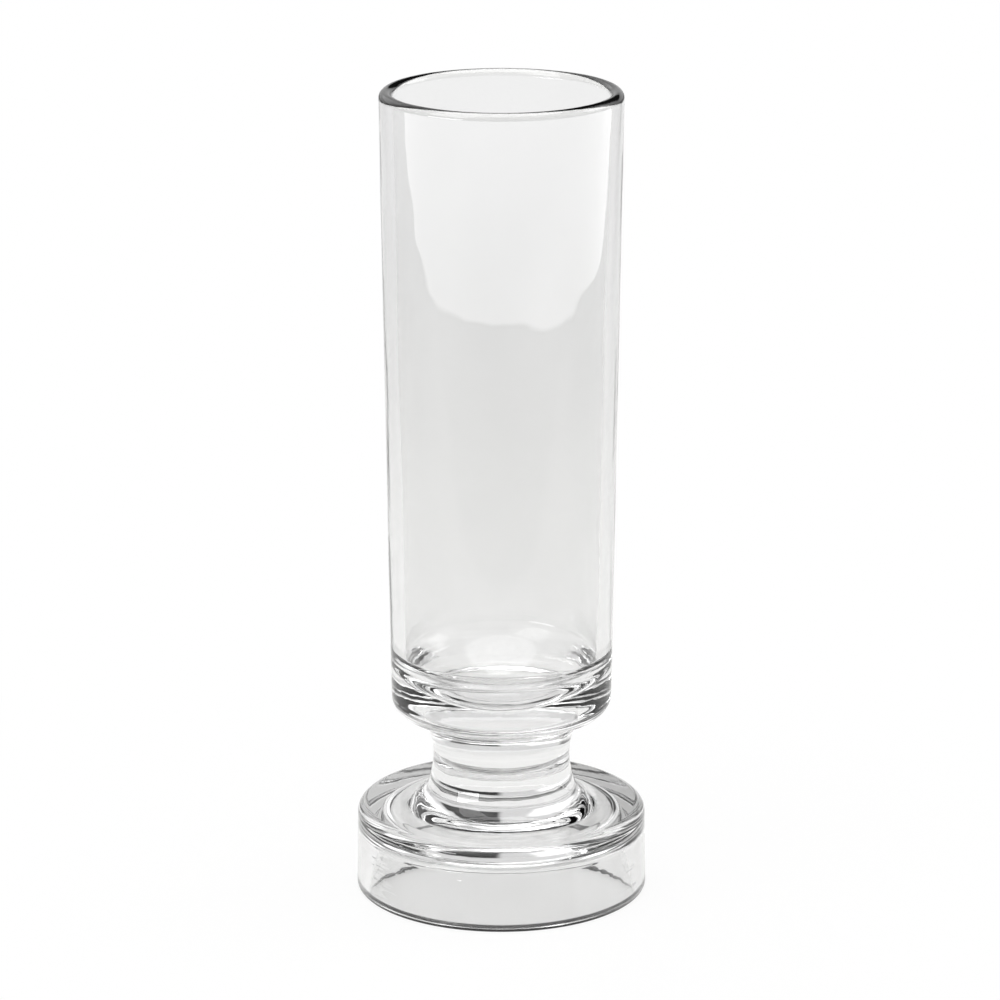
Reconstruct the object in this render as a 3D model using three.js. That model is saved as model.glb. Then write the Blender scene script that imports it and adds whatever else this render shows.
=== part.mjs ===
// A clear pressed-glass bud vase: a tall vessel, a short round stem and a wide foot that is
// hollow underneath. The three are pressed apart and fused hot, one on top of the other.
// Lengths are in millimetres and +Z is up. The origin is on the axis, where the foot stands.
import * as THREE from "three";

// Foot: a heavy disc with rounded shoulders, pressed hollow from below
const footDiameter = 71.6;
const footShoulderDiameter = 71;
const footRimHeight = 21.5;
const footShoulderRadius = 2.5;
const crownFilletHeight = 2.5;
const crownFilletReach = 6.4;
const footEdgeRadius = 1.2;
const hollowMouthDiameter = 62.8;
const hollowCeilingDiameter = 59;
const hollowDepth = 16;
const hollowCornerRadius = 3;
const hollowLipRadius = 1;

// Stem: a solid round post, narrowest at its waist, that spreads a little below and flares
// above until it is as wide as the level part of the vessel's underside
const stemHeight = 21;
const stemWaistDiameter = 33.6;
const stemBottomDiameter = 37.2;
const stemWaistHeight = 10;

// Vessel: a tumbler whose wall leans out a little, with a full-round lip and a bowl-shaped floor
const vesselHeight = 155;
const vesselRimDiameter = 58.5;
const vesselBaseDiameter = 54;
const vesselRimWall = 3.4;
const vesselBaseWall = 3.6;
const vesselFloorThickness = 3;
const vesselBaseRadius = 4.5;
const bowlHeight = 13.5;
const bowlFullness = 1.6;

// Fineness of the facets, in counts
const sidesAround = 64;
const stepsPerRound = 6;
const stepsPerCurve = 8;
const stepsPerBowl = 14;

// Points of a circular arc in the half plane of radius and height, with angles in degrees
function arc(centreRadius, centreHeight, radius, fromDegrees, toDegrees, steps = stepsPerRound) {
  return Array.from({ length: steps + 1 }, (_, i) => {
    const angle = THREE.MathUtils.degToRad(fromDegrees + ((toDegrees - fromDegrees) * i) / steps);
    return new THREE.Vector2(
      centreRadius + radius * Math.cos(angle),
      centreHeight + radius * Math.sin(angle),
    );
  });
}

// A parabola from a wide end down to the narrow waist above it, where it runs upright
function spread(endRadius, waistRadius, waistHeight) {
  return Array.from({ length: stepsPerCurve + 1 }, (_, i) => {
    const share = i / stepsPerCurve;
    return new THREE.Vector2(
      waistRadius + (endRadius - waistRadius) * (1 - share) ** 2,
      waistHeight * share,
    );
  });
}

// A quarter of an ellipse that leaves the narrow end upright and ends level at the wide end
function flare(narrowRadius, wideRadius, startHeight, endHeight) {
  return Array.from({ length: stepsPerCurve + 1 }, (_, i) => {
    const angle = (i / stepsPerCurve) * (Math.PI / 2);
    return new THREE.Vector2(
      narrowRadius + (wideRadius - narrowRadius) * (1 - Math.cos(angle)),
      startHeight + (endHeight - startHeight) * Math.sin(angle),
    );
  });
}

// The solid that a closed outline makes when it turns once round the upright axis
function turned(outline) {
  const geometry = new THREE.LatheGeometry(outline, sidesAround);
  geometry.rotateX(Math.PI / 2);
  return geometry;
}

// Clear glass, with the faint grey-green that thick soda-lime glass shows
function clearGlass() {
  return new THREE.MeshStandardMaterial({
    color: 0xe9efed,
    roughness: 0.03,
    metalness: 0,
    transparent: true,
    opacity: 0.35,
  });
}

function namedPiece(name, geometry, seatHeight) {
  const piece = new THREE.Mesh(geometry, clearGlass());
  piece.name = name;
  piece.position.z = seatHeight;
  return piece;
}

// The outline runs from the hollow's ceiling, out over the standing ring and the shoulder to the
// level crown, then up a fillet to the raised seat, which is as wide as the stem's lower end.
function footOutline() {
  const mouth = hollowMouthDiameter / 2;
  const ceiling = hollowCeilingDiameter / 2;
  const edge = footDiameter / 2;
  const shoulder = footShoulderDiameter / 2;
  const seat = stemBottomDiameter / 2;
  const ceilingCentre = hollowDepth - hollowCornerRadius;
  return [
    new THREE.Vector2(0, hollowDepth),
    ...arc(ceiling - hollowCornerRadius, ceilingCentre, hollowCornerRadius, 90, 0),
    ...arc(mouth + hollowLipRadius, hollowLipRadius, hollowLipRadius, 180, 270),
    ...arc(edge - footEdgeRadius, footEdgeRadius, footEdgeRadius, -90, 0),
    ...arc(shoulder - footShoulderRadius, footRimHeight - footShoulderRadius, footShoulderRadius, 0, 90),
    ...flare(seat, seat + crownFilletReach, footRimHeight + crownFilletHeight, footRimHeight).reverse(),
    new THREE.Vector2(0, footRimHeight + crownFilletHeight),
  ];
}

// The outline runs from the foot's raised seat up to the waist and on to the vessel's underside.
function stemOutline() {
  const waist = stemWaistDiameter / 2;
  const levelUnderside = vesselBaseDiameter / 2 - vesselBaseRadius;
  return [
    new THREE.Vector2(0, 0),
    ...spread(stemBottomDiameter / 2, waist, stemWaistHeight),
    ...flare(waist, levelUnderside, stemWaistHeight, stemHeight).slice(1),
    new THREE.Vector2(0, stemHeight),
  ];
}

// The bowl-shaped floor: a quarter superellipse from the middle of the floor up to the wall
function bowlCurve(wallRadius) {
  return Array.from({ length: stepsPerBowl + 1 }, (_, i) => {
    const angle = (i / stepsPerBowl) * (Math.PI / 2);
    const outward = Math.sin(angle) ** (2 / bowlFullness);
    const upward = 1 - Math.max(Math.cos(angle), 0) ** (2 / bowlFullness);
    return new THREE.Vector2(wallRadius * outward, vesselFloorThickness + bowlHeight * upward);
  });
}

// The outline runs from the underside, up the outer wall, over the lip and down into the bowl.
function vesselOutline() {
  const rim = vesselRimDiameter / 2;
  const base = vesselBaseDiameter / 2;
  const lipRadius = vesselRimWall / 2;
  const bowl = bowlCurve(base - vesselBaseWall).reverse();
  return [
    new THREE.Vector2(0, 0),
    ...arc(base - vesselBaseRadius, vesselBaseRadius, vesselBaseRadius, -90, 0),
    ...arc(rim - lipRadius, vesselHeight - lipRadius, lipRadius, 0, 180, 2 * stepsPerRound),
    ...bowl,
  ];
}

// Each piece stands on the one below it, with level faces fused together
function buildVase() {
  const stemSeat = footRimHeight + crownFilletHeight;
  const vesselSeat = stemSeat + stemHeight;
  const vase = new THREE.Group();
  vase.add(
    namedPiece("foot", turned(footOutline()), 0),
    namedPiece("stem", turned(stemOutline()), stemSeat),
    namedPiece("vessel", turned(vesselOutline()), vesselSeat),
  );
  return vase;
}

export default buildVase();
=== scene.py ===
# %% [markdown]
# # A clear pressed-glass vase
# The object is one body of clear glass: a tall tumbler, a short round stem and a wide foot that
# is hollow underneath. A glass worker presses the three shapes in iron moulds and fuses them
# while they are hot. This lesson turns each one from a drawn outline and gives it real glass.
# Lengths in the outlines are millimetres. Blender itself works in metres.

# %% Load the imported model
import math

import bpy
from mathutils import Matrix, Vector


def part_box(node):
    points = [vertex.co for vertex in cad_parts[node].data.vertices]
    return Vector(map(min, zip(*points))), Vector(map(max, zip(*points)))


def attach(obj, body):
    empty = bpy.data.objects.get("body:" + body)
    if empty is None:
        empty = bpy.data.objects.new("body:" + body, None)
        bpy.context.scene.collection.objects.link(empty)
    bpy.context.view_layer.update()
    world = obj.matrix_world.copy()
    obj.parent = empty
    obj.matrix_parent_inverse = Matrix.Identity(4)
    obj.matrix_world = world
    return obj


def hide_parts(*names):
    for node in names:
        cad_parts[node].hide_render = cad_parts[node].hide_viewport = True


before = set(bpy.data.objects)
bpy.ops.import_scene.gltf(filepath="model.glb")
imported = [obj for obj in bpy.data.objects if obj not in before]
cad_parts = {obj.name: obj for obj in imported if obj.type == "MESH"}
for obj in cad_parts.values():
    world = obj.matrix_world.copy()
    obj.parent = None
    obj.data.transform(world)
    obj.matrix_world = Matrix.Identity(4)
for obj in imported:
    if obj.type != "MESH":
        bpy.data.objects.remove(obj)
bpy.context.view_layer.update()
MM = 0.001
print("CAD nodes:", sorted(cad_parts))

# %% [markdown]
# ## Camera
# The camera looks down on the vase by sixteen degrees through a long lens, as a product
# photographer's does, so that the upright walls stay nearly parallel in the picture. A short
# lens close by would show the same vase with walls that lean together.

# %% Place the camera
camera_place = (0, -1.09746, 0.41565)
camera_looks_down = 16.114
camera_data = bpy.data.cameras.new("camera")
camera_data.lens = 169.06
camera_data.sensor_width = 36
camera_data.shift_x = -0.00143
camera_data.shift_y = 0.00056
camera = bpy.data.objects.new("camera", camera_data)
camera.location = camera_place
camera.rotation_euler = (math.radians(90 - camera_looks_down), 0, 0)
bpy.context.scene.collection.objects.link(camera)
bpy.context.scene.camera = camera
print("camera distance:", round(camera.location.length, 3), "m")

# %% [markdown]
# ## Two helpers
# Colours are written as the hex values that a picture editor shows. Shaders count in linear
# light, so one function converts them. The other adds a node with its settings, and links or
# values for its sockets.

# %% Colour and node helpers
def linear(hex_colour):
    parts = [int(hex_colour[i : i + 2], 16) / 255 for i in (1, 3, 5)]
    return [p / 12.92 if p <= 0.04045 else ((p + 0.055) / 1.055) ** 2.4 for p in parts] + [1]


def add_node(tree, kind, sockets=None, **settings):
    node = tree.nodes.new(kind)
    for name, value in settings.items():
        setattr(node, name, value)
    for name, value in (sockets or {}).items():
        if isinstance(value, bpy.types.NodeSocket):
            tree.links.new(value, node.inputs[name])
        else:
            node.inputs[name].default_value = value
    return node


# %% [markdown]
# ## Sizes
# These are the sizes of the solid model, so that the glass fills the space of the nodes that it
# stands for. The heights of the two fused joints are read from the nodes themselves. Only the
# fillet between the crown of the foot and the stem is drawn as one round here: where hot glass
# runs together it always rounds, and a sharp line there would show as a ring in the glass.

# %% Sizes in millimetres
foot_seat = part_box("foot")[1].z / MM
vessel_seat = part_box("vessel")[0].z / MM
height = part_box("vessel")[1].z / MM

foot_radius = 35.8
shoulder_radius = 35.5
shoulder_height = 21.5
shoulder_round = 2.5
foot_edge_round = 1.2
fillet_end = 25.3
fillet_round = 7.56
fillet_turn = 67.8
hollow_mouth = 31.4
hollow_ceiling = 29.5
hollow_depth = 16
hollow_corner = 3
hollow_lip = 1

stem_waist = 16.8
stem_waist_height = 34

rim_radius = 29.25
base_radius = 27
rim_wall = 3.4
base_wall = 3.6
base_corner = 4.5
floor_thickness = 3
bowl_height = 13.5
bowl_fullness = 1.6

fillet_centre = (fillet_end, shoulder_height + fillet_round)
seat_turn = math.degrees(math.acos(1 - (foot_seat - shoulder_height) / fillet_round))
print("joints at", round(foot_seat, 2), "and", round(vessel_seat, 2), "mm of", round(height, 2))

# %% [markdown]
# ## Curves of the outlines
# A glass mould is cut on a lathe, so each wall is a row of straight lines and a few simple
# curves: round corners, the flare under the tumbler, the slight spread of the stem towards the
# foot, and the bowl that a plunger leaves in the floor.

# %% Curves that the outlines are made of
def arc(centre, radius, start, end, steps=16):
    turns = [math.radians(start + (end - start) * i / steps) for i in range(steps + 1)]
    return [(centre[0] + radius * math.cos(t), centre[1] + radius * math.sin(t)) for t in turns]


def flare(narrow, wide, start, end, steps=36):
    turns = [math.pi / 2 * i / steps for i in range(steps + 1)]
    run = wide - narrow
    rise = end - start
    return [(narrow + run * (1 - math.cos(t)), start + rise * math.sin(t)) for t in turns]


def spread(wide, narrow, start, end, steps=20):
    shares = [i / steps for i in range(steps + 1)]
    return [(narrow + (wide - narrow) * (1 - s) ** 2, start + (end - start) * s) for s in shares]


def bowl(wall, floor, steps=56):
    turns = [math.pi / 2 * i / steps for i in range(steps + 1)]
    power = 2 / bowl_fullness
    outward = [wall * math.sin(t) ** power for t in turns]
    upward = [floor + bowl_height * (1 - max(math.cos(t), 0) ** power) for t in turns]
    return list(zip(outward, upward))


# %% [markdown]
# ## Closer rings
# Glass shows every facet, because each one bends the light its own way. Smooth shading hides
# them only where the rings lie close together, above all where a straight wall meets a curve.
# So each long straight stretch gets a ring close to both ends and more of them between.

# %% Add rings to an outline
ring_step = 1.5
ring_near_corner = 0.12
shortest_straight = 1.2
same_point = 1e-6


def closer_rings(points):
    rings = [points[0]]
    for (r0, z0), (r1, z1) in zip(points, points[1:]):
        length = math.hypot(r1 - r0, z1 - z0)
        if length < same_point:
            continue
        shares = [1.0]
        if length > shortest_straight:
            edge = ring_near_corner / length
            count = max(1, int((length - 2 * ring_near_corner) / ring_step))
            shares = [edge + (1 - 2 * edge) * i / count for i in range(count + 1)] + [1.0]
        rings += [(r0 + (r1 - r0) * s, z0 + (z1 - z0) * s) for s in shares]
    return rings


# %% [markdown]
# ## The three outlines
# Each outline starts and ends on the axis. The fine ripples of a wall's outer face and inner
# face are never alike, so every point also carries a share, 0 outside and 1 inside, which
# changes over gently along the lip.

# %% Outline of the foot
def foot_outline():
    corner_centre = (hollow_ceiling - hollow_corner, hollow_depth - hollow_corner)
    shoulder_centre = (shoulder_radius - shoulder_round, shoulder_height - shoulder_round)
    hollow = [(0, hollow_depth)]
    hollow += arc(corner_centre, hollow_corner, 90, 0)
    hollow += arc((hollow_mouth + hollow_lip, hollow_lip), hollow_lip, 180, 270)
    outer = arc((foot_radius - foot_edge_round, foot_edge_round), foot_edge_round, -90, 0)
    outer += arc(shoulder_centre, shoulder_round, 0, 90)
    outer += arc(fillet_centre, fillet_round, 270, 270 - seat_turn)
    outer += [(0, foot_seat)]
    hollow = closer_rings(hollow)
    outer = closer_rings([hollow[-1]] + outer)[1:]
    return [(r, z, 1) for r, z in hollow] + [(r, z, 0) for r, z in outer]


# %% Outline of the stem
def stem_outline():
    points = [(0, foot_seat)]
    points += arc(fillet_centre, fillet_round, 270 - seat_turn, 270 - fillet_turn)
    points += spread(points[-1][0], stem_waist, points[-1][1], stem_waist_height)[1:]
    points += flare(stem_waist, base_radius - base_corner, stem_waist_height, vessel_seat)[1:]
    points += [(0, vessel_seat)]
    return [(r, z, 0) for r, z in closer_rings(points)]


# %% Outline of the vessel
steps_over_lip = 24


def vessel_outline():
    lip = rim_wall / 2
    outer = [(0, vessel_seat)]
    outer += arc((base_radius - base_corner, vessel_seat + base_corner), base_corner, -90, 0)
    rim = arc((rim_radius - lip, height - lip), lip, 0, 180, steps_over_lip)
    inner = bowl(base_radius - base_wall, vessel_seat + floor_thickness)[::-1]
    outer = closer_rings(outer + rim[:1])
    inner = closer_rings(rim[-1:] + inner)
    over_lip = [(r, z, i / steps_over_lip) for i, (r, z) in enumerate(rim)][1:-1]
    return [(r, z, 0) for r, z in outer] + over_lip + [(r, z, 1) for r, z in inner]


# %% [markdown]
# ## Outlines as meshes
# The tree of nodes that turns the glass reads its outline from the object's own mesh: a chain
# of points in the plane of X and Z, with the share of inside as an attribute.

# %% Make an outline into an object
def outline_object(name, outline):
    mesh = bpy.data.meshes.new(name)
    points = [(r * MM, 0, z * MM) for r, z, _ in outline]
    mesh.from_pydata(points, [(i, i + 1) for i in range(len(points) - 1)], [])
    inside = mesh.attributes.new("inside", "FLOAT", "POINT")
    inside.data.foreach_set("value", [share for _, _, share in outline])
    piece = bpy.data.objects.new(name, mesh)
    bpy.context.scene.collection.objects.link(piece)
    print(name, "outline:", len(outline), "rings")
    return piece


# %% [markdown]
# ## The turning tree
# A body that a lathe could cut follows one rule: every ring is the same outline point at
# another angle. Geometry Nodes can say exactly that. A flat grid has as many rows as the
# outline has points. Its width becomes the angle, and each row takes its radius and height
# from the outline. Merging closes the seam and both poles. A Spin or a Screw modifier could
# turn the outline too, but here the ripples can follow in the same tree.

# %% Inputs of the turning tree
turning = bpy.data.node_groups.new("turned glass", "GeometryNodeTree")
turning.interface.new_socket(name="Geometry", in_out="OUTPUT", socket_type="NodeSocketGeometry")
turning_inputs = {
    "Outline": ("NodeSocketGeometry", None),
    "Sides": ("NodeSocketInt", 256),
    "Lower Seat": ("NodeSocketFloat", -1.0),
    "Upper Seat": ("NodeSocketFloat", -1.0),
    "Wave Height": ("NodeSocketFloat", 0.3 * MM),
    "Streak Height": ("NodeSocketFloat", 0.08 * MM),
    "Peel Height": ("NodeSocketFloat", 0.016 * MM),
    "Still Below": ("NodeSocketFloat", 0.8 * MM),
    "Seed": ("NodeSocketFloat", 3.0),
    "Seed Drift": ("NodeSocketFloat", 3.2),
    "Glass": ("NodeSocketMaterial", None),
    "Fused Joint": ("NodeSocketMaterial", None),
}
turning_ids = {}
for name, (kind, value) in turning_inputs.items():
    socket = turning.interface.new_socket(name=name, in_out="INPUT", socket_type=kind)
    if value is not None:
        socket.default_value = value
    turning_ids[name] = socket.identifier
given = add_node(turning, "NodeGroupInput").outputs
print("turning tree inputs:", len(turning_ids))

# %% Bend a grid round the axis
point_count = add_node(turning, "GeometryNodeAttributeDomainSize", {"Geometry": given["Outline"]})
columns = add_node(turning, "ShaderNodeMath", {0: given["Sides"], 1: 1}, operation="ADD")
grid = add_node(
    turning,
    "GeometryNodeMeshGrid",
    {
        "Size X": 1,
        "Size Y": 1,
        "Vertices X": columns.outputs[0],
        "Vertices Y": point_count.outputs["Point Count"],
    },
)
place = add_node(turning, "GeometryNodeInputPosition").outputs[0]
flat = add_node(turning, "ShaderNodeSeparateXYZ", {0: place})
angle = add_node(
    turning,
    "ShaderNodeMapRange",
    {"Value": flat.outputs["X"], "From Min": -0.5, "From Max": 0.5, "To Max": math.tau},
)
last_row = add_node(
    turning, "ShaderNodeMath", {0: point_count.outputs["Point Count"], 1: 1}, operation="SUBTRACT"
)
row = add_node(
    turning,
    "ShaderNodeMapRange",
    {"Value": flat.outputs["Y"], "From Min": -0.5, "From Max": 0.5, "To Max": last_row.outputs[0]},
)
row_number = add_node(turning, "ShaderNodeMath", {0: row.outputs[0]}, operation="ROUND")

# %% Take radius, height and inside share from the outline
drawn = add_node(
    turning,
    "GeometryNodeSampleIndex",
    {"Geometry": given["Outline"], "Value": place, "Index": row_number.outputs[0]},
    data_type="FLOAT_VECTOR",
)
inside_share = add_node(
    turning, "GeometryNodeInputNamedAttribute", {"Name": "inside"}, data_type="FLOAT"
)
inside_drawn = add_node(
    turning,
    "GeometryNodeSampleIndex",
    {"Geometry": given["Outline"], "Value": inside_share.outputs[0], "Index": row_number.outputs[0]},
    data_type="FLOAT",
)

# %% Put each point at its angle
merge_distance = 0.0005
radius_height = add_node(turning, "ShaderNodeSeparateXYZ", {0: drawn.outputs[0]}).outputs
cosine = add_node(turning, "ShaderNodeMath", {0: angle.outputs[0]}, operation="COSINE")
sine = add_node(turning, "ShaderNodeMath", {0: angle.outputs[0]}, operation="SINE")
east = add_node(
    turning, "ShaderNodeMath", {0: radius_height["X"], 1: cosine.outputs[0]}, operation="MULTIPLY"
)
north = add_node(
    turning, "ShaderNodeMath", {0: radius_height["X"], 1: sine.outputs[0]}, operation="MULTIPLY"
)
round_place = add_node(
    turning,
    "ShaderNodeCombineXYZ",
    {"X": east.outputs[0], "Y": north.outputs[0], "Z": radius_height["Z"]},
)
marked = add_node(turning, "GeometryNodeCaptureAttribute", {"Geometry": grid.outputs["Mesh"]})
marked.capture_items.new("FLOAT", "Inside")
turning.links.new(inside_drawn.outputs[0], marked.inputs["Inside"])
bent = add_node(
    turning,
    "GeometryNodeSetPosition",
    {"Geometry": marked.outputs["Geometry"], "Position": round_place.outputs[0]},
)
closed = add_node(
    turning, "GeometryNodeMergeByDistance", {"Geometry": bent.outputs[0], "Distance": merge_distance * MM}
)

# %% [markdown]
# ## Fused joints
# Where two shapes are fused, the real glass has no surface at all. The pieces still need closed
# meshes, so the faces in the plane of a joint are marked here. They later get a finish that
# lets light pass straight on, and the three pieces look like one body. Leaving these faces out
# would look the same, but the pieces would be open shells.

# %% Mark the faces of the joints
joint_tolerance = 0.001
own_height = add_node(turning, "ShaderNodeSeparateXYZ", {0: place}).outputs["Z"]
at_seat = []
for seat in ("Lower Seat", "Upper Seat"):
    test = add_node(
        turning,
        "ShaderNodeMath",
        {0: own_height, 1: given[seat], 2: joint_tolerance * MM},
        operation="COMPARE",
    )
    at_seat.append(test.outputs[0])
joint_face = add_node(turning, "ShaderNodeMath", {0: at_seat[0], 1: at_seat[1]}, operation="MAXIMUM")
sorted_faces = add_node(
    turning, "GeometryNodeCaptureAttribute", {"Geometry": closed.outputs[0]}, domain="FACE"
)
sorted_faces.capture_items.new("FLOAT", "Joint")
turning.links.new(joint_face.outputs[0], sorted_faces.inputs["Joint"])

# %% [markdown]
# ## Ripples of pressed glass
# Pressed glass is never quite true. It cools against iron and has slow waves, upright streaks
# where it was drawn, and a fine skin like orange peel where the mould chilled it. Each is a
# noise that moves the surface, at most by about a tenth of a millimetre. A bump in the material
# could bend the light as well, but it would be lost on the bare mesh. The slow waves bend the
# whole wall, so its outer and inner face must move alike: the noise is read at a point that is
# pushed out to one common radius. Streaks and peel differ from face to face. Above the heavy
# base the seed drifts with height, so that the waves don't stand in line up the wall.

# %% Where the ripples are read
common_radius = 27
radius_kept_below = 22
drift_start = 60
inner_seed_step = 7.5
level_part = add_node(turning, "ShaderNodeVectorMath", {0: place, 1: (1, 1, 0)}, operation="MULTIPLY")
from_axis = add_node(turning, "ShaderNodeVectorMath", {0: level_part.outputs[0]}, operation="LENGTH")
at_least = add_node(
    turning,
    "ShaderNodeMath",
    {0: from_axis.outputs["Value"], 1: radius_kept_below * MM},
    operation="MAXIMUM",
)
outward = add_node(
    turning, "ShaderNodeMath", {0: common_radius * MM, 1: at_least.outputs[0]}, operation="DIVIDE"
).outputs[0]
stretch = add_node(turning, "ShaderNodeCombineXYZ", {"X": outward, "Y": outward, "Z": 1})
on_wall = add_node(
    turning, "ShaderNodeVectorMath", {0: place, 1: stretch.outputs[0]}, operation="MULTIPLY"
).outputs[0]
drift = add_node(
    turning,
    "ShaderNodeMapRange",
    {
        "Value": own_height,
        "From Min": drift_start * MM,
        "From Max": height * MM,
        "To Max": given["Seed Drift"],
    },
)
outer_seed = add_node(
    turning, "ShaderNodeMath", {0: given["Seed"], 1: drift.outputs[0]}, operation="ADD"
).outputs[0]
inner_seed = add_node(
    turning, "ShaderNodeMath", {0: outer_seed, 1: inner_seed_step}, operation="ADD"
).outputs[0]
print("waves are read at radius", common_radius, "mm on both faces of the wall")

# %% Move the surface by three noises
# Each row: height input, across and up in millimetres, seeds of the outer and the inner face
ripples = [
    ("Wave Height", 26, 34, (outer_seed, outer_seed)),
    ("Streak Height", 5, 90, (outer_seed, inner_seed)),
    ("Peel Height", 4, 4, (outer_seed, inner_seed)),
]
moves = []
for name, across, up, seeds in ripples:
    per_metre = [1 / across / MM, 1 / across / MM, 1 / up / MM]
    stretched = add_node(
        turning, "ShaderNodeVectorMath", {0: on_wall, 1: per_metre}, operation="MULTIPLY"
    ).outputs[0]
    sides = []
    for seed in seeds:
        noise = add_node(
            turning,
            "ShaderNodeTexNoise",
            {"Vector": stretched, "W": seed, "Scale": 1, "Detail": 1},
            noise_dimensions="4D",
        )
        sides.append(noise.outputs["Color"])
    both = add_node(
        turning,
        "ShaderNodeMix",
        {"Factor": marked.outputs["Inside"], 4: sides[0], 5: sides[1]},
        data_type="VECTOR",
    ).outputs[1]
    middle = add_node(
        turning, "ShaderNodeVectorMath", {0: both, 1: (0.5, 0.5, 0.5)}, operation="SUBTRACT"
    ).outputs[0]
    move = add_node(
        turning, "ShaderNodeVectorMath", {0: middle, "Scale": given[name]}, operation="SCALE"
    )
    moves.append(move.outputs[0])

# %% [markdown]
# The standing ring is ground flat on a wheel, so all ripples fade out there. They could be left
# to run on, but the vase would then stand on three high spots and cut into the table.

# %% Fade the ripples near the floor and add them up
full_ripples_above = 6
lift = add_node(
    turning,
    "ShaderNodeMapRange",
    {"Value": own_height, "From Min": given["Still Below"], "From Max": full_ripples_above * MM},
    interpolation_type="SMOOTHSTEP",
)
two_moves = add_node(turning, "ShaderNodeVectorMath", {0: moves[0], 1: moves[1]}, operation="ADD")
all_moves = add_node(
    turning, "ShaderNodeVectorMath", {0: two_moves.outputs[0], 1: moves[2]}, operation="ADD"
)
faded = add_node(
    turning, "ShaderNodeVectorMath", {0: all_moves.outputs[0], "Scale": lift.outputs[0]}, operation="SCALE"
)
rippled = add_node(
    turning,
    "GeometryNodeSetPosition",
    {"Geometry": sorted_faces.outputs["Geometry"], "Offset": faded.outputs[0]},
)

# %% Shade smooth, but keep the edge of each joint sharp
smooth = add_node(
    turning, "GeometryNodeSetShadeSmooth", {"Geometry": rippled.outputs[0], "Shade Smooth": True}
)
joint_edge = add_node(
    turning, "ShaderNodeMath", {0: sorted_faces.outputs["Joint"], 1: 0.5, 2: 0.3}, operation="COMPARE"
)
creased = add_node(
    turning,
    "GeometryNodeSetShadeSmooth",
    {"Geometry": smooth.outputs[0], "Selection": joint_edge.outputs[0], "Shade Smooth": False},
    domain="EDGE",
)
real = add_node(turning, "GeometryNodeRealizeInstances", {"Geometry": creased.outputs[0]})
glassy = add_node(
    turning, "GeometryNodeSetMaterial", {"Geometry": real.outputs[0], "Material": given["Glass"]}
)
finished = add_node(
    turning,
    "GeometryNodeSetMaterial",
    {
        "Geometry": glassy.outputs[0],
        "Selection": sorted_faces.outputs["Joint"],
        "Material": given["Fused Joint"],
    },
)
add_node(turning, "NodeGroupOutput", {"Geometry": finished.outputs[0]})
print("turning tree nodes:", len(turning.nodes))

# %% [markdown]
# ## Clear soda-lime glass
# The vase is ordinary clear soda-lime glass, fire-polished after pressing. It bends light with
# an index of 1.52, and its surface is as smooth as a liquid. Iron in the sand leaves a faint
# grey tint, a little uneven from cords in the melt. Two things are finer than the mesh, so a
# bump carries them: a skin of soft dents all over, and level wrinkles in the thick parts, where
# the glass froze in steps as it ran into the mould. The ground standing ring is matt. A thin
# band on the edge round it is painted dark grey as painted shade, for the dark line where the
# foot meets the table. A glass shader alone would throw a full dark shadow, so lamps reach the
# table through a plain see-through shader, as they do through real glass.

# %% Sizes of the glass finish in millimetres
glass_index = 1.52
cord_size = 30
ground_full_below = 0.05
ground_ends = 0.35
ground_roughness = 0.3
# Height band of the painted shade on the foot's edge, where it meets the table
contact_shade_bottom = (0.02, 0.15)
contact_shade_top = (1.2, 0.9)
skin_size = 5
wrinkle_across, wrinkle_up = 7, 1.3
wrinkles_full_below = 60
wrinkles_end = 70
wrinkles_to_skin = 30
relief_height = 0.0006

# %% Tint of the clear glass
clear_glass = bpy.data.materials.new("clear_soda_lime_glass")
clear_glass.use_nodes = True
glass_tree = clear_glass.node_tree
glass_tree.nodes.clear()
glass_place = add_node(glass_tree, "ShaderNodeTexCoord").outputs["Object"]
cords = add_node(
    glass_tree,
    "ShaderNodeTexNoise",
    {"Vector": glass_place, "Scale": 1 / (cord_size * MM), "Detail": 2},
)
tint = add_node(
    glass_tree,
    "ShaderNodeMix",
    {"Factor": cords.outputs[0], 6: linear("#f2f2f2"), 7: linear("#f7f7f7")},
    data_type="RGBA",
)

# %% Ground ring and painted shade on its edge
glass_height = add_node(glass_tree, "ShaderNodeSeparateXYZ", {0: glass_place}).outputs["Z"]
ground = add_node(
    glass_tree,
    "ShaderNodeMapRange",
    {"Value": glass_height, "From Min": ground_ends * MM, "From Max": ground_full_below * MM},
)
worn = add_node(
    glass_tree, "ShaderNodeMath", {0: ground.outputs[0], 1: ground_roughness}, operation="MULTIPLY"
)
# Painted shade: a dark band just above the table, for the dark line where the foot meets it
above_edge = add_node(
    glass_tree,
    "ShaderNodeMapRange",
    {"Value": glass_height, "From Min": contact_shade_top[0] * MM, "From Max": contact_shade_top[1] * MM},
)
on_edge = add_node(
    glass_tree,
    "ShaderNodeMapRange",
    {"Value": glass_height, "From Min": contact_shade_bottom[0] * MM, "From Max": contact_shade_bottom[1] * MM},
)
painted_contact_shade = add_node(
    glass_tree, "ShaderNodeMath", {0: above_edge.outputs[0], 1: on_edge.outputs[0]}, operation="MULTIPLY"
)
# The glass is painted dark in that band as painted shade
tint_with_contact_shade = add_node(
    glass_tree,
    "ShaderNodeMix",
    {"Factor": painted_contact_shade.outputs[0], 6: tint.outputs[2], 7: linear("#141414")},
    data_type="RGBA",
)

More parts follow.
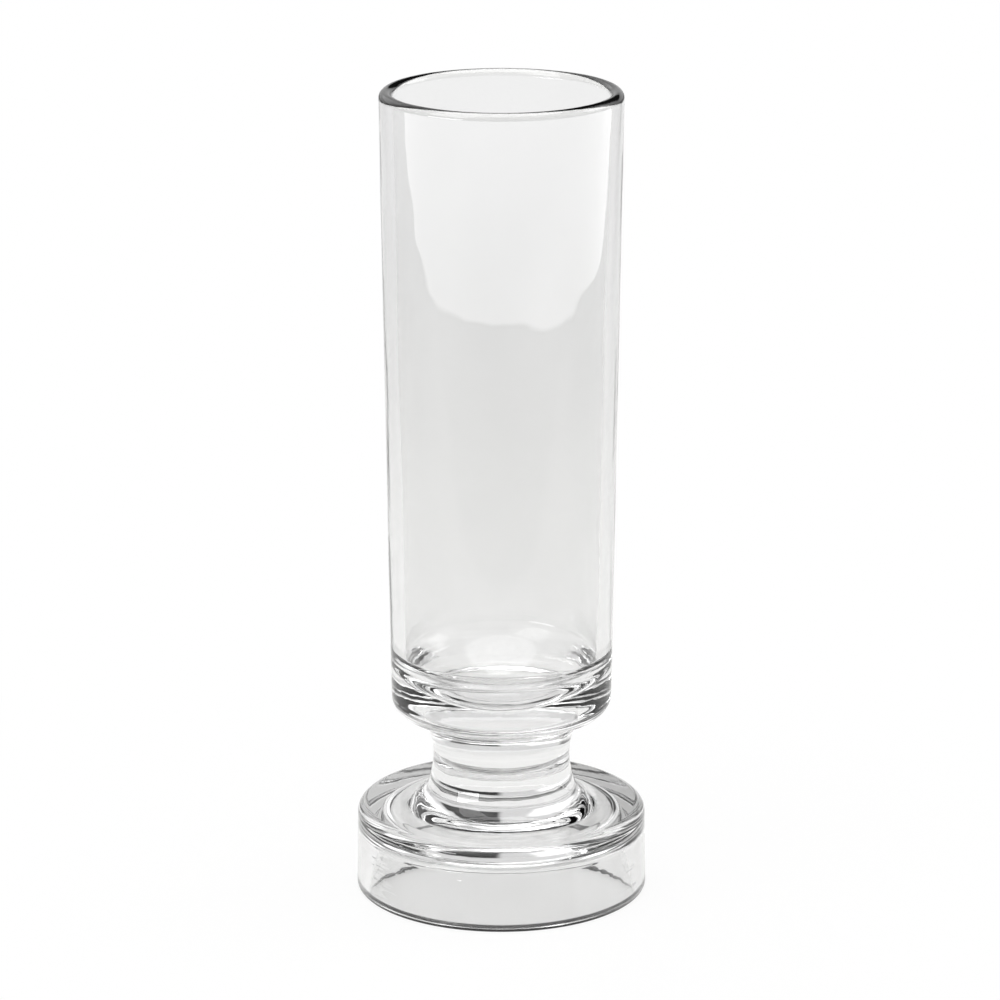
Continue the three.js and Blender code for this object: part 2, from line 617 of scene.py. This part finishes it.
# %% Skin and wrinkles of the glass
skin = add_node(
    glass_tree,
    "ShaderNodeTexNoise",
    {"Vector": glass_place, "Scale": 1 / (skin_size * MM), "Detail": 1},
)
flattened = add_node(
    glass_tree,
    "ShaderNodeVectorMath",
    {0: glass_place, 1: [1 / (w * MM) for w in (wrinkle_across, wrinkle_across, wrinkle_up)]},
    operation="MULTIPLY",
)
wrinkles = add_node(
    glass_tree, "ShaderNodeTexNoise", {"Vector": flattened.outputs[0], "Scale": 1, "Detail": 1}
)
thick_part = add_node(
    glass_tree,
    "ShaderNodeMapRange",
    {
        "Value": glass_height,
        "From Min": wrinkles_end * MM,
        "From Max": wrinkles_full_below * MM,
        "To Max": wrinkles_to_skin,
    },
)
relief = add_node(
    glass_tree,
    "ShaderNodeMath",
    {0: wrinkles.outputs[0], 1: thick_part.outputs[0], 2: skin.outputs[0]},
    operation="MULTIPLY_ADD",
)
skin_bump = add_node(
    glass_tree,
    "ShaderNodeBump",
    {"Strength": 1, "Distance": relief_height * MM, "Height": relief.outputs[0]},
)

# %% Surface of the clear glass
glass_surface = add_node(
    glass_tree,
    "ShaderNodeBsdfPrincipled",
    {
        "Base Color": tint_with_contact_shade.outputs[2],
        "Roughness": worn.outputs[0],
        "IOR": glass_index,
        "Transmission Weight": 1,
        "Normal": skin_bump.outputs[0],
    },
)
lamp_light = add_node(glass_tree, "ShaderNodeBsdfTransparent", {"Color": linear("#f0f0f0")})
light_path = add_node(glass_tree, "ShaderNodeLightPath")
glass_mix = add_node(
    glass_tree,
    "ShaderNodeMixShader",
    {0: light_path.outputs["Is Shadow Ray"], 1: glass_surface.outputs[0], 2: lamp_light.outputs[0]},
)
add_node(glass_tree, "ShaderNodeOutputMaterial", {"Surface": glass_mix.outputs[0]})
print("glass nodes:", len(glass_tree.nodes), "index", glass_index)

# %% Material of the fused joints
fused_joint = bpy.data.materials.new("fused_glass_joint")
fused_joint.use_nodes = True
joint_tree = fused_joint.node_tree
joint_tree.nodes.clear()
pass_through = add_node(joint_tree, "ShaderNodeBsdfTransparent", {"Color": linear("#ffffff")})
add_node(joint_tree, "ShaderNodeOutputMaterial", {"Surface": pass_through.outputs[0]})

# %% [markdown]
# ## Turn the three pieces
# Each outline gets the tree as a modifier. The modifier could stay, but the finished part can't
# carry a live tree, so the result is made a plain mesh.

# %% Turn one piece of glass
def turn_piece(name, outline, lower_seat=-1.0, upper_seat=-1.0):
    piece = outline_object(name, outline)
    modifier = piece.modifiers.new("turned glass", "NODES")
    modifier.node_group = turning
    modifier[turning_ids["Lower Seat"]] = lower_seat * MM
    modifier[turning_ids["Upper Seat"]] = upper_seat * MM
    modifier[turning_ids["Glass"]] = clear_glass
    modifier[turning_ids["Fused Joint"]] = fused_joint
    bpy.context.view_layer.update()
    depsgraph = bpy.context.evaluated_depsgraph_get()
    mesh = bpy.data.meshes.new_from_object(piece.evaluated_get(depsgraph))
    piece.modifiers.remove(modifier)
    piece.data = mesh
    mesh.name = name
    finishes = [clear_glass, fused_joint]
    worn_by = [finishes.index(mesh.materials[face.material_index]) for face in mesh.polygons]
    mesh.materials.clear()
    for finish in finishes:
        mesh.materials.append(finish)
    mesh.polygons.foreach_set("material_index", worn_by)
    triangles = sum(len(face.vertices) - 2 for face in mesh.polygons)
    print(name, triangles, "triangles,", sum(worn_by), "faces in its joints")
    return piece


# %% The pieces of the vase
foot_glass = turn_piece("foot_glass", foot_outline(), upper_seat=foot_seat)
stem_glass = turn_piece("stem_glass", stem_outline(), lower_seat=foot_seat, upper_seat=vessel_seat)
vessel_glass = turn_piece("vessel_glass", vessel_outline(), lower_seat=vessel_seat)

# %% Hand the pieces to the frame
for piece, node in ((foot_glass, "foot"), (stem_glass, "stem"), (vessel_glass, "vessel")):
    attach(piece, "root")
    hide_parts(node)

# %% [markdown]
# ## Studio
# Clear glass has hardly any colour of its own. It shows the room: what lies behind it, bent, and
# the lamps as small reflections. So the studio is planned for the glass, and each thing in it
# is there for something that the glass shows. It starts with a wide pale table. From here on
# lengths are metres.

# %% Table
table_reach = 8
table_corners = [(x * table_reach, y * table_reach, 0) for x, y in ((-1, -1), (1, -1), (1, 1), (-1, 1))]
table_mesh = bpy.data.meshes.new("table")
table_mesh.from_pydata(table_corners, [], [(0, 1, 2, 3)])
table = bpy.data.objects.new("table", table_mesh)
bpy.context.scene.collection.objects.link(table)

# %% [markdown]
# The table has to do two jobs. Behind the vase the picture wants a white ground, so a straight
# look at it gives plain white, with a little of the real shade left near the foot to keep its
# shadow. Looks through the glass see the painted table as it is lit, and that gives the glass
# its soft grey body. For the glass a share of white is added close to the foot and again far
# away, because a wide softbox falls off less than these lamps do. In looks that the glass
# mirrors, the paint darkens far to the sides, and in front from a quarter of a metre on, and
# that gives the foot its contrast. More lamps on the table would whiten it as well, but they
# would bleach the glass too.

# %% Paint of the table
# Each row: axis, where the paint is fully dark, where it is fully pale
dark_ends = [("X", -0.7, -0.15), ("X", 0.7, 0.15), ("Y", -0.28, -0.25)]
sweep = bpy.data.materials.new("pale_matt_sweep")
sweep.use_nodes = True
sweep_tree = sweep.node_tree
sweep_tree.nodes.clear()
ray = add_node(sweep_tree, "ShaderNodeLightPath").outputs
table_place = add_node(sweep_tree, "ShaderNodeTexCoord").outputs["Object"]
table_axes = add_node(sweep_tree, "ShaderNodeSeparateXYZ", {0: table_place}).outputs
lit = 1
for axis, dim_end, lit_end in dark_ends:
    edge = add_node(
        sweep_tree,
        "ShaderNodeMapRange",
        {"Value": table_axes[axis], "From Min": dim_end, "From Max": lit_end},
        interpolation_type="SMOOTHSTEP",
    ).outputs[0]
    lit = add_node(sweep_tree, "ShaderNodeMath", {0: edge, 1: lit}, operation="MULTIPLY").outputs[0]
lit = add_node(
    sweep_tree, "ShaderNodeMath", {0: lit, 1: ray["Is Transmission Ray"]}, operation="MAXIMUM"
).outputs[0]
paint = add_node(
    sweep_tree,
    "ShaderNodeMix",
    {"Factor": lit, 6: linear("#9c9c9c"), 7: linear("#d1d1d0")},
    data_type="RGBA",
)
matt = add_node(sweep_tree, "ShaderNodeBsdfDiffuse", {"Color": paint.outputs[2]})

# %% Share of white in the table
white = add_node(sweep_tree, "ShaderNodeEmission", {"Color": (1, 1, 1, 1), "Strength": 1})
from_vase = add_node(sweep_tree, "ShaderNodeVectorMath", {0: table_place}, operation="LENGTH")
by_glass = add_node(
    sweep_tree,
    "ShaderNodeMath",
    {0: ray["Is Glossy Ray"], 1: ray["Is Transmission Ray"]},
    operation="MAXIMUM",
).outputs[0]
lit_by_glass = add_node(
    sweep_tree, "ShaderNodeMath", {0: by_glass, 1: lit}, operation="MULTIPLY"
).outputs[0]
# Each row: whose look, distance from and to, share of white there
white_rows = [
    (ray["Is Camera Ray"], 0.06, 0.2, 0.9, 1.0),
    (lit_by_glass, 0.06, 0.2, 0.25, 0.0),
    (lit_by_glass, 0.3, 1.0, 0.0, 0.9),
]
white_share = 0
for seen, start, end, share_at_start, share_at_end in white_rows:
    share = add_node(
        sweep_tree,
        "ShaderNodeMapRange",
        {0: from_vase.outputs["Value"], 1: start, 2: end, 3: share_at_start, 4: share_at_end},
        interpolation_type="SMOOTHSTEP",
    ).outputs[0]
    white_share = add_node(
        sweep_tree, "ShaderNodeMath", {0: seen, 1: share, 2: white_share}, operation="MULTIPLY_ADD"
    ).outputs[0]
sweep_mix = add_node(
    sweep_tree, "ShaderNodeMixShader", {0: white_share, 1: matt.outputs[0], 2: white.outputs[0]}
)
add_node(sweep_tree, "ShaderNodeOutputMaterial", {"Surface": sweep_mix.outputs[0]})
table_mesh.materials.append(sweep)
print("table nodes:", len(sweep_tree.nodes))

# %% [markdown]
# A photographer lays a white card on the table before the glass. The wall mirrors it as one
# clear pale zone below the rim, and the inner edge of the card makes the curved lower edge of
# that zone. A lamp could make the zone too, but its straight edges would show. The card's inner
# edge is drawn with a bend, closest in front and further away at the sides, and it fades over
# about a centimetre, as the edge of a bent card does. The card is there for the mirror image
# alone: the camera, looks through the glass and the light on the table leave it out. From
# behind, the vase would otherwise stand before a glaring strip.

# %% Shape of the white card
# Bearings count from the back of the vase by way of its right side
card_inner = 0.545
card_bend = 0.09
card_turned_back = 0.25
card_outer = 1.15
card_soft_edge = 0.014
card_above_table = 0.002
card_level = 2.9
card_middle, card_reach = 160, (104, 122)
half_steps = 30
card_points = []
for i in range(2 * half_steps + 1):
    share = i / half_steps - 1
    turn = math.radians(card_middle + card_reach[i > half_steps] * share)
    inner = card_inner + card_bend * share**2 + card_turned_back * share**12
    for away in (inner, inner + card_soft_edge, card_outer):
        card_points.append((away * math.sin(turn), away * math.cos(turn), card_above_table))
first_corners = [3 * i + k for i in range(2 * half_steps) for k in (0, 1)]
card_faces = [(k, k + 3, k + 4, k + 1) for k in first_corners]
card_mesh = bpy.data.meshes.new("white_card")
card_mesh.from_pydata(card_points, [], card_faces)
light_shares = card_mesh.attributes.new("light_share", "FLOAT", "POINT")
light_shares.data.foreach_set("value", [0, 1, 1] * (2 * half_steps + 1))
print("card points:", len(card_points))

# %% Put the card in the mirror image alone
card = bpy.data.objects.new("white_card", card_mesh)
bpy.context.scene.collection.objects.link(card)
card.visible_camera = False
card.visible_shadow = False
card.visible_diffuse = False
card.visible_transmission = False

# %% Light of the card
lit_card = bpy.data.materials.new("lit_white_card")
lit_card.use_nodes = True
card_tree = lit_card.node_tree
card_tree.nodes.clear()
light_share = add_node(card_tree, "ShaderNodeAttribute", attribute_name="light_share").outputs["Fac"]
card_strength = add_node(
    card_tree, "ShaderNodeMath", {0: light_share, 1: card_level}, operation="MULTIPLY"
)
card_light = add_node(
    card_tree, "ShaderNodeEmission", {"Color": (1, 1, 1, 1), "Strength": card_strength.outputs[0]}
)
add_node(card_tree, "ShaderNodeOutputMaterial", {"Surface": card_light.outputs[0]})
card_mesh.materials.append(lit_card)

# %% [markdown]
# ## Room light
# The room is bright nearly all round, so that thick glass stays clear. Dark lines in glass come
# from dark things in the room, as black cloth on a stand gives a bottle its drawn outline. Here
# they are one tall dark cloth behind the vase and a low dark strip behind the camera. Cloths and
# walls could be built as meshes, but painting them on the sky keeps them out of the way in every
# view. Bearings count as for the card, and rises from level up to overhead.

# %% Directions in the room
def towards(bearing, rise):
    flat = math.cos(math.radians(rise))
    return Vector(
        (
            flat * math.sin(math.radians(bearing)),
            flat * math.cos(math.radians(bearing)),
            math.sin(math.radians(rise)),
        )
    )


# %% Room light by direction
room_level = 0.75
# Each row: bearing, rise, half width, half height and softness in degrees, and the level
patches = [
    (75, 27, 32, 15, 6, 1.4),
    (232, 44, 32, 17, 8, 1.5),
    (328, 24, 16, 13, 3, 1.4),
    (215, 0, 100, 9, 4, 0.08),
    (18, 38.5, 17, 25, 2, 0.03),
]
world = bpy.data.worlds.new("studio")
bpy.context.scene.world = world
world.use_nodes = True
world_tree = world.node_tree
world_tree.nodes.clear()
view = add_node(world_tree, "ShaderNodeTexCoord").outputs["Generated"]
view_axes = add_node(world_tree, "ShaderNodeSeparateXYZ", {0: view}).outputs
bearing_of = add_node(
    world_tree, "ShaderNodeMath", {0: view_axes["X"], 1: view_axes["Y"]}, operation="ARCTAN2"
).outputs[0]
rise_of = add_node(world_tree, "ShaderNodeMath", {0: view_axes["Z"]}, operation="ARCSINE").outputs[0]
level = room_level
for bearing, rise, half_width, half_height, softness, patch_level in patches:
    share = 1
    for seen, middle, half in ((bearing_of, bearing, half_width), (rise_of, rise, half_height)):
        turned = add_node(
            world_tree, "ShaderNodeMath", {0: seen, 1: math.radians(middle)}, operation="SUBTRACT"
        )
        wrapped = add_node(
            world_tree, "ShaderNodeMath", {0: turned.outputs[0], 1: math.pi, 2: -math.pi}, operation="WRAP"
        )
        off = add_node(world_tree, "ShaderNodeMath", {0: wrapped.outputs[0]}, operation="ABSOLUTE")
        within = add_node(
            world_tree,
            "ShaderNodeMapRange",
            {
                "Value": off.outputs[0],
                "From Min": math.radians(half + softness),
                "From Max": math.radians(half - softness),
            },
            interpolation_type="SMOOTHSTEP",
        )
        share = add_node(
            world_tree, "ShaderNodeMath", {0: within.outputs[0], 1: share}, operation="MULTIPLY"
        ).outputs[0]
    level = add_node(
        world_tree, "ShaderNodeMix", {"Factor": share, 2: level, 3: patch_level}, data_type="FLOAT"
    ).outputs[0]
room_light = add_node(world_tree, "ShaderNodeBackground", {"Color": (1, 1, 1, 1), "Strength": level})
add_node(world_tree, "ShaderNodeOutputWorld", {"Surface": room_light.outputs[0]})
print("room patches:", len(patches), "on a level of", room_level)

# %% [markdown]
# ## Lamps
# A round lamp overhead lights the table evenly and fills the bowl of the floor with a white
# dome. Weaker ones stand left and right. The small low one on the left is there for the
# slanting white window on the stem. Power could be set by eye, but here it follows from how
# bright the lamp's face is, because that is what the glass mirrors.

# %% Soft lamps
# Each row: name, bearing, rise, distance, size, shape and brightness of the face
lamps = [
    ("overhead", 0, 90, 1.0, (1.04, 1.04), "DISK", 2.65),
    ("left", 235, 46, 0.95, (0.5, 0.5), "RECTANGLE", 2.2),
    ("right", 72, 30, 1.0, (0.5, 0.4), "RECTANGLE", 2.2),
    ("low_left", 233, 7, 0.8, (0.5, 0.14), "RECTANGLE", 8.0),
]
aim = Vector((0, 0, 0.08))
for name, bearing, rise, distance, size, shape, radiance in lamps:
    lamp_data = bpy.data.lights.new(name, "AREA")
    lamp_data.shape = shape
    lamp_data.size, lamp_data.size_y = size
    area = size[0] * size[1] * (math.pi / 4 if shape == "DISK" else 1)
    lamp_data.energy = radiance * math.pi * area
    lamp = bpy.data.objects.new(name, lamp_data)
    lamp.location = aim + distance * towards(bearing, rise)
    lamp.rotation_euler = (aim - lamp.location).to_track_quat("-Z", "Y").to_euler()
    bpy.context.scene.collection.objects.link(lamp)
    print(name, round(lamp_data.energy, 2), "W")
joints_and_shadows_crossed = 32
bpy.context.scene.cycles.transparent_max_bounces = joints_and_shadows_crossed

# %% [markdown]
# ## Finish
# The standard view shows colours as they are written.

# %% Set the standard view
bpy.context.scene.view_settings.view_transform = "Standard"
